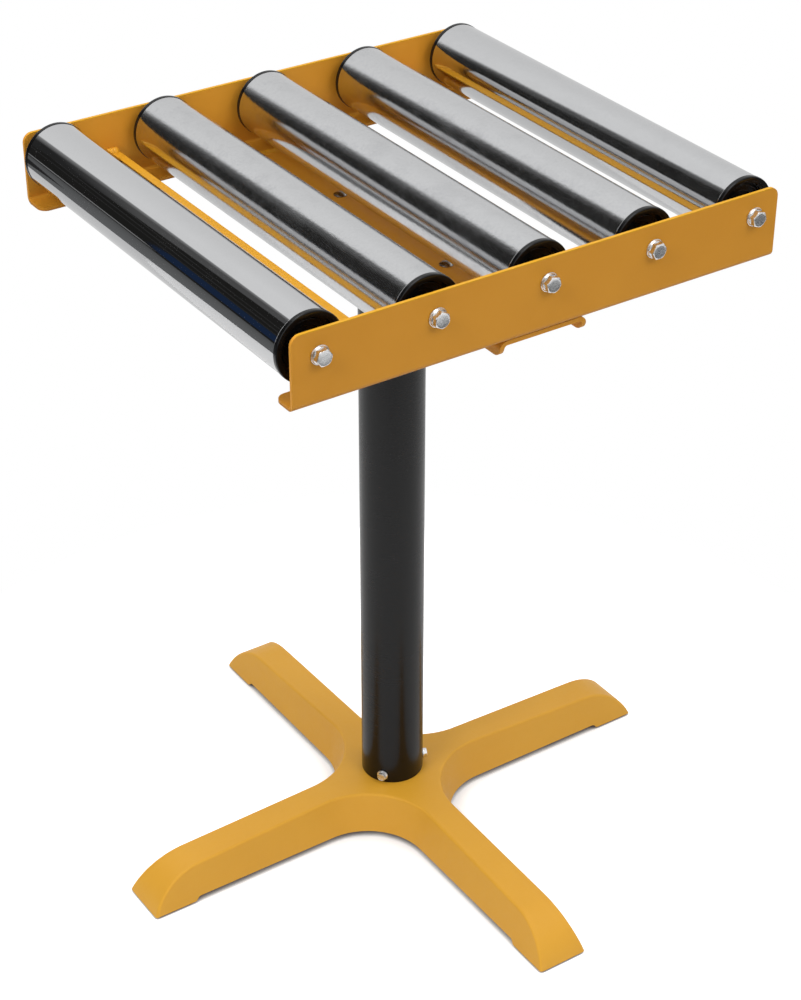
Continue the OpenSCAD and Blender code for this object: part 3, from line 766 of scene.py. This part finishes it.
def sectionPoints(topPoint, topNormal, zBottom, hollow):
    # (along, across, z) points of one cross-section, from the centre line down to the underside
    s = baseShape
    r = s["edge"]
    (x0, z0), (nx, nz) = topPoint, topNormal
    cx, cz = x0 - r * nx, z0 - r * nz
    cy = halfWidth(cz) - r * sideSlope
    points = [(x0, 0.0, z0), (x0, cy * 0.6, z0), (x0, cy, z0)]
    turn = math.acos(nz * sideNormal[1])
    low = zBottom + 0.7

    def onFillet(t):
        a, b = math.sin((1 - t) * turn) / math.sin(turn), math.sin(t * turn) / math.sin(turn)
        return (cx + r * a * nx, cy + r * b * sideNormal[0], cz + r * (a * nz + b * sideNormal[1]))

    stop = 1.0
    if onFillet(1.0)[2] < zBottom:
        near, far = 0.0, 1.0
        for _ in range(30):
            mid = (near + far) / 2
            near, far = (mid, far) if onFillet(mid)[2] > zBottom else (near, mid)
        stop = near
    points += [onFillet(stop * i / 8) for i in range(1, 9)]
    edgeX, edgeY, edgeZ = points[-1]
    for share in (0.33, 0.66, 1.0):
        z = max(edgeZ + (low - edgeZ) * share, zBottom) if edgeZ > low else edgeZ
        points.append((edgeX, min(edgeY + (edgeZ - z) * s["draft"], halfWidth(z)) if stop == 1.0 else edgeY, z))
    # the rolled lower edge
    footY = points[-1][1]
    edgeEnd = max(footY - s["footEdge"], 0)
    points.append((edgeX, footY - 0.10, min(points[-1][2], zBottom + 0.22)))
    points.append((edgeX, edgeEnd, zBottom))
    if hollow:
        wallTop = halfWidth(s["ceiling"]) - s["wall"]
        points += [(edgeX, halfWidth(zBottom) - s["wall"], zBottom), (edgeX, wallTop, s["ceiling"]),
                   (edgeX, 0.0, s["ceiling"])]
    else:
        points += [(edgeX, edgeEnd * f, zBottom) for f in (0.7, 0.35, 0.0)]
    return points


def armStations(steps=30):
    # cross-sections along half an arm, from the tip in to where the fork's curve starts
    s = baseShape
    tx, tz = s["tipCentre"]
    dx, dz = s["fork"] - tx, s["hubTop"] - tz
    slope = math.atan2(-dz, -dx) + math.asin(s["tipRadius"] / math.hypot(dx, dz))
    startAngle = math.pi / 2 + slope
    endAngle = math.asin((s["footZ"] - tz) / s["tipRadius"])
    stations = []
    for i in range(steps + 1):
        a = endAngle + (startAngle - endAngle) * (i / steps)
        x, z = tx + s["tipRadius"] * math.cos(a), tz + s["tipRadius"] * math.sin(a)
        stations.append(((x, z), (math.cos(a), math.sin(a))))
    (arcEndX, arcEndZ), normal = stations[-1]
    fall = s["hubTop"] - arcEndZ
    for x in (s["cavityEnd"] - 1, *s["sections"]):
        stations.append(((x, arcEndZ + (arcEndX - x) * fall / (arcEndX - s["fork"])), normal))
    stations.append(((s["fork"], s["hubTop"]), (0, 1)))
    sections, wasHollow = [], False
    for top, norm in stations:
        under = undersideAt(top[0])
        hollow = top[0] <= s["cavityEnd"]
        if hollow and not wasHollow:
            sections.append(sectionPoints(top, norm, under, False))
        sections.append(sectionPoints(top, norm, under, hollow))
        wasHollow = hollow
    return sections


def forkStations(steps=28):
    # cross-sections round the fork's curve, about its centre at (fork, fork)
    s = baseShape
    flat = sectionPoints((s["fork"], s["hubTop"]), (0, 1), s["underside"], True)
    sections = []
    for i in range(1, steps):
        a = math.radians(-90 - 90 * i / steps)
        c, t = math.cos(a), math.sin(a)
        centreDistance = s["fork"] / max(abs(c), abs(t))
        section = []
        for _, across, z in flat:
            rho = s["fork"] - across
            if across == 0:
                rho = centreDistance
            elif across < 8:
                # halfway between the curve and the centre line
                rho = s["fork"] - across + (centreDistance - s["fork"]) * 0.5
            section.append((s["fork"] + rho * c, s["fork"] + rho * t, z))
        sections.append(section)
    return sections


def baseQuarter():
    arm = armStations()
    sections = arm + forkStations() + [[(y, x, z) for x, y, z in section] for section in reversed(arm)]
    n = len(sections[0])
    verts = [p for section in sections for p in section]
    faces = []
    for j in range(len(sections) - 1):
        for k in range(n - 1):
            a, b = j * n + k, (j + 1) * n + k
            faces.append((a, b, b + 1, a + 1))
    return verts, faces


def spigot():
    # the stub inside the column, its top edge broken
    s = baseShape
    r, bore, low, top = s["spigot"], s["spigotBore"], s["underside"], s["spigotTop"]
    return lathe([(bore, low), (r, low), (r, top - 0.8), (r - 0.8, top), (bore, top)], 96, closed=True)


padShape = {"start": 247.5, "length": 34, "halfWidth": 21, "corner": 4, "thick": 2, "edge": 0.3}


def footPad(turned):
    s = padShape
    half = s["length"] / 2
    pad = roundedPlate(half, s["halfWidth"], s["corner"], 0, s["thick"])
    return moved(pad, turned @ Matrix.Translation((s["start"] + half, 0, 0)))


quarterTurns = [Matrix.Rotation(math.radians(90 * k), 4, "Z") for k in range(4)]
casting = [moved(baseQuarter(), turned) for turned in quarterTurns] + [spigot()]
placePiece("baseCasting", casting, castAmber, ["base_casting"], sharpAngle=42)
pads = [footPad(turned) for turned in quarterTurns]
placePiece("footPads", pads, rubber, ["foot_pads"], bevel=padShape["edge"])
print("base made")

# inner axles, spacers and bearing rings keep their CAD shapes and get a near-black steel, painted shade for the
# dark recess inside the caps
for nodeName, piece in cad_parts.items():
    if nodeName.startswith(("axle_", "bearing_")):
        for place in piece.material_slots:
            place.material = recessSteelPaintedShade


# the photograph's camera: place in metres, angles in degrees, lens and sensor in millimetres
cameraSetup = {"place": (-1.0134, -1.5239, 1.5265), "turn": -33.87, "pitch": 32.53, "roll": 0.08, "lens": 83.70,
               "sensor": 36}

# the studio: a pale paper sweep in a dim room, one large lamp above and soft fill from the front
# distances are metres to the right of, ahead of and above the stand's foot, square to the camera's direction

# a slant says how far the paper's edge on the floor moves to the right for each metre ahead
paper = {"left": -1.32, "right": 1.45, "front": -1.15, "floorLeft": -1.49, "leftSlant": 0.29,
         "floorRight": 1.31, "rightSlant": 0.25, "sweepStart": 0.5, "wallAhead": 0.9, "wallTop": 2.8,
         "wallLow": 0.74, "wallHigh": 0.95, "bounce": 0.79, "white": 0.86, "lift": 0.60}
# the painted contact shadow on the paper where the feet stand on it, and the distances over which it ends and
# turns pure white
paintedContactShadow = {"reach": 0.065, "tone": (0.050, 0.036, 0.030), "range": (0.15, 0.78), "fade": (0.36, 0.42),
           "whiteFrom": (0.42, 0.58)}
# the dim room: its light on matt surfaces, its floor, and the strip of wall to the left of the paper
room = {"ambient": 0.40, "floorGrey": 0.30, "floorGlow": (0.165, 0.105), "floorFade": (1.4, 5.5),
        "floorTint": (0.97, 0.99, 1.0), "floorHalf": 14, "stripLeft": -2.15, "stripTop": 6,
        "stripGlow": (0.026, 0.10), "stripHeights": (1.45, 1.72), "stripEdge": 0.30}
# what the rollers mirror of the room: name, two ends of the panel, low and high edge, glow, tint
roomPanels = [
    ("roomWallAhead", (-5.6, 3.6), (-2.1, 0.92), (0, 7), 0.017, (1.0, 0.98, 0.92)),
    ("roomWallSide", (-5.6, -5), (-5.6, 3.6), (0, 7), 0.017, (1.0, 0.98, 0.92)),
    ("roomLine0", (-5.55, 1.75), (-5.55, 3.4), (0.16, 0.36), 0.24, (1, 1, 1)),
    ("roomLine1", (-5.55, -3), (-5.55, 3.4), (1.62, 1.68), 0.055, (1, 1, 1)),
    ("roomLine2", (-5.55, -3), (-5.55, 3.4), (2.30, 2.42), 0.045, (1, 1, 1)),
    ("roomLine3", (-5.55, -3), (-5.55, 3.4), (3.05, 3.12), 0.060, (1, 1, 1)),
    ("blueDoor", (-5.5, 1.1), (-5.5, 1.7), (0.35, 1.5), 1.0, (0.013, 0.026, 0.062)),
]
viewTurn = math.radians(-cameraSetup["turn"])
ahead = Vector((math.sin(viewTurn), math.cos(viewTurn), 0))
right = Vector((math.cos(viewTurn), -math.sin(viewTurn), 0))


def studioPoint(toRight, forward, height):
    return right * toRight + ahead * forward + Vector((0, 0, height))


def studioAxes(tree):
    # object coordinates turned to the studio: right, ahead and up, and the same as one vector
    spot = addNode(tree, "Mapping", {"Vector": addNode(tree, "TexCoord").outputs["Object"],
                                     "Rotation": (0, 0, viewTurn)}).outputs[0]
    return addNode(tree, "SeparateXYZ", {0: spot}).outputs, spot


def stagePiece(name, verts, faces, material, seen):
    mesh = bpy.data.meshes.new(name)
    mesh.from_pydata(verts, [], faces)
    piece = bpy.data.objects.new(name, mesh)
    bpy.context.scene.collection.objects.link(piece)
    mesh.materials.append(material)
    piece.visible_camera = seen
    return piece


def mirroredPanel(name, start, end, heights, material):
    # an upright panel of the room that only shiny surfaces see
    low, high = heights
    corners = [(*start, low), (*end, low), (*end, high), (*start, high)]
    panel = stagePiece(name, [studioPoint(*c) for c in corners], [(0, 1, 2, 3)], material, False)
    panel.visible_diffuse = panel.visible_shadow = False


def bareMaterial(name):
    mat = bpy.data.materials.new(name)
    mat.use_nodes = True
    mat.node_tree.nodes.clear()
    return mat, mat.node_tree


def glow(tree, strength, colour=(1, 1, 1)):
    return addNode(tree, "Emission", {"Color": (*colour, 1), "Strength": strength}).outputs[0]


def setSurface(tree, shader, kind="OutputMaterial"):
    tree.links.new(shader, addNode(tree, kind).inputs[0])


def panelMaterial(name, strength, colour):
    mat, tree = bareMaterial(name)
    setSurface(tree, glow(tree, strength, colour))
    return mat


def paperMaterial():
    # the lit paper, brighter higher up
    mat, tree = bareMaterial("litPaper")
    axes, _ = studioAxes(tree)
    setSurface(tree, glow(tree, ramp(tree, axes[2], paper["wallLow"], paper["wallHigh"], 0.6, 1.6)))
    return mat


def paperSweep():
    # the paper's curve from the floor up to the wall, seen only by reflections and soft light
    s = paper
    bend = s["wallAhead"] - s["sweepStart"]
    line = [(s["sweepStart"] + bend * math.sin(a), 0.002 + bend * (1 - math.cos(a)))
            for a in map(math.radians, range(0, 91, 10))] + [(s["wallAhead"], s["wallTop"])]
    verts = [studioPoint(x, f, z) for f, z in line for x in (s["left"], s["right"])]
    faces = [(2 * i, 2 * i + 1, 2 * i + 3, 2 * i + 2) for i in range(len(line) - 1)]
    stagePiece("paperSweep", verts, faces, paperMaterial(), False)


def stripMaterial():
    # pale paper's edge fading into the dim wall beside it, which is darker low down
    mat, tree = bareMaterial("dimWall")
    axes, _ = studioAxes(tree)
    side, edgeGlow = paper["left"], room["stripEdge"]
    wall = ramp(tree, axes[2], *room["stripGlow"], *room["stripHeights"])
    edge = ramp(tree, axes[0], edgeGlow, paper["wallHigh"], side - 0.07, side + 0.02)
    tail = ramp(tree, axes[0], 0, edgeGlow, side - 0.40, side - 0.06)
    atEdge = calc(tree, "GREATER_THAN", tail, edgeGlow - 0.001)
    bright = calc(tree, "MAXIMUM", wall, calc(tree, "MULTIPLY", edge, atEdge))
    setSurface(tree, glow(tree, calc(tree, "MAXIMUM", bright, tail)))
    return mat


def dimRoom():
    # the unlit side of the room: a strip beside the paper, far walls, pale skirting, a few shelves and a door
    start, end = (room["stripLeft"], paper["wallAhead"]), (paper["left"], paper["wallAhead"])
    mirroredPanel("wallBesidePaper", start, end, (0, room["stripTop"]), stripMaterial())
    for name, start, end, heights, strength, tint in roomPanels:
        mirroredPanel(name, start, end, heights, panelMaterial(name, strength, tint))


def floorMaterial():
    mat, tree = bareMaterial("studioFloor")
    path = addNode(tree, "LightPath").outputs
    axes, spot = studioAxes(tree)
    away = addNode(tree, "VectorMath", {0: spot}, operation="LENGTH").outputs["Value"]
    leftEdge = calc(tree, "MULTIPLY_ADD", axes[1], paper["leftSlant"], paper["floorLeft"])
    rightEdge = calc(tree, "MULTIPLY_ADD", axes[1], paper["rightSlant"], paper["floorRight"])
    onPaper = calc(tree, "GREATER_THAN", axes[0], leftEdge)
    onPaper = calc(tree, "MULTIPLY", onPaper, calc(tree, "LESS_THAN", axes[0], rightEdge))
    onPaper = calc(tree, "MULTIPLY", onPaper, calc(tree, "GREATER_THAN", axes[1], paper["front"]))

    # light bounces off white paper and a grey floor; in mirrors the floor beside the paper glows dimly
    tone = mixColour(tree, onPaper, (room["floorGrey"],) * 3 + (1,), (paper["bounce"],) * 3 + (1,))
    lit = addNode(tree, "BsdfDiffuse", {"Color": tone}).outputs[0]
    dim = glow(tree, ramp(tree, away, *room["floorGlow"], *room["floorFade"]), room["floorTint"])
    other = mixShader(tree, path["Is Glossy Ray"], lit, mixShader(tree, onPaper, dim, lit))

    # the camera sees a pale lit backdrop with a painted contact shadow where the feet touch it, drawn from
    # ambient occlusion, and pure white further out
    shown = addNode(tree, "BsdfDiffuse", {"Color": (paper["white"],) * 3 + (1,)}).outputs[0]
    shown = addNode(tree, "AddShader", {0: shown, 1: glow(tree, paper["lift"])}).outputs[0]
    outsidePaintedShadow = addNode(tree, "AmbientOcclusion", {"Distance": paintedContactShadow["reach"]}, samples=16).outputs["AO"]
    outsidePaintedShadow = ramp(tree, outsidePaintedShadow, 0, 1, *paintedContactShadow["range"])
    outsidePaintedShadow = calc(tree, "MAXIMUM", outsidePaintedShadow, ramp(tree, away, 0, 1, *paintedContactShadow["fade"]))
    shown = mixShader(tree, outsidePaintedShadow, glow(tree, 1.0, paintedContactShadow["tone"]), shown)
    shown = mixShader(tree, ramp(tree, away, 0, 1, *paintedContactShadow["whiteFrom"]), shown, glow(tree, 1.0))
    setSurface(tree, mixShader(tree, path["Is Camera Ray"], other, shown))
    return mat


def studioFloor():
    half = room["floorHalf"]
    corners = [(-half, -half, 0), (half, -half, 0), (half, half, 0), (-half, half, 0)]
    stagePiece("studioFloor", corners, [(0, 1, 2, 3)], floorMaterial(), True)


paperSweep()
dimRoom()
studioFloor()


# watts, size in metres, and place
lamps = {
    "topLamp": (31.0, 1.5, (-0.15, -0.35, 3.3)),
    "frontLeftLamp": (59.0, 1.6, (-1.8, -2.0, 3.0)),
    "frontRightLamp": (33.0, 1.6, (1.9, -1.9, 3.0)),
    "backLeftLamp": (6.0, 1.6, (-2.3, 0.5, 3.0)),
    "backRightLamp": (16.0, 1.6, (2.3, 0.5, 3.0)),
}
lampTarget = Vector((0, 0, 0.4))


def softLamp(name, power, size, place):
    light = bpy.data.lights.new(name, "AREA")
    light.energy, light.shape, light.size = power, "SQUARE", size
    lamp = bpy.data.objects.new(name, light)
    bpy.context.scene.collection.objects.link(lamp)
    lamp.location = studioPoint(*place)
    lamp.rotation_euler = (lampTarget - lamp.location).to_track_quat("-Z", "Y").to_euler()
    lamp.visible_glossy = name == "topLamp"           # it draws the thin highlights along the edges


for name, setting in lamps.items():
    softLamp(name, *setting)


def roomLight():
    # the world: white behind the stand and in mirrors, softer as light on matt surfaces
    world = bpy.data.worlds.new("studioRoom")
    bpy.context.scene.world = world
    world.use_nodes = True
    tree = world.node_tree
    tree.nodes.clear()
    path = addNode(tree, "LightPath").outputs
    white = addNode(tree, "Background", {"Color": (1, 1, 1, 1), "Strength": 1.0}).outputs[0]
    soft = addNode(tree, "Background", {"Color": (1, 1, 1, 1), "Strength": room["ambient"]}).outputs[0]
    seen = calc(tree, "MAXIMUM", path["Is Camera Ray"], path["Is Glossy Ray"])
    seen = calc(tree, "MAXIMUM", seen, path["Is Transmission Ray"])
    setSurface(tree, mixShader(tree, seen, soft, white), "OutputWorld")


def photoCamera():
    s = cameraSetup
    data = bpy.data.cameras.new("photoCamera")
    data.lens, data.sensor_width, data.sensor_fit = s["lens"], s["sensor"], "AUTO"
    data.clip_start, data.clip_end = 0.05, 60
    camera = bpy.data.objects.new("photoCamera", data)
    bpy.context.scene.collection.objects.link(camera)
    turns = ((s["turn"], "Z"), (90 - s["pitch"], "X"), (s["roll"], "Z"))
    turn, pitch, roll = [Matrix.Rotation(math.radians(angle), 4, axis) for angle, axis in turns]
    camera.matrix_world = Matrix.Translation(s["place"]) @ (turn @ pitch @ roll)
    bpy.context.scene.camera = camera


roomLight()
bpy.context.scene.view_settings.view_transform = "Standard"
photoCamera()
print("studio made")
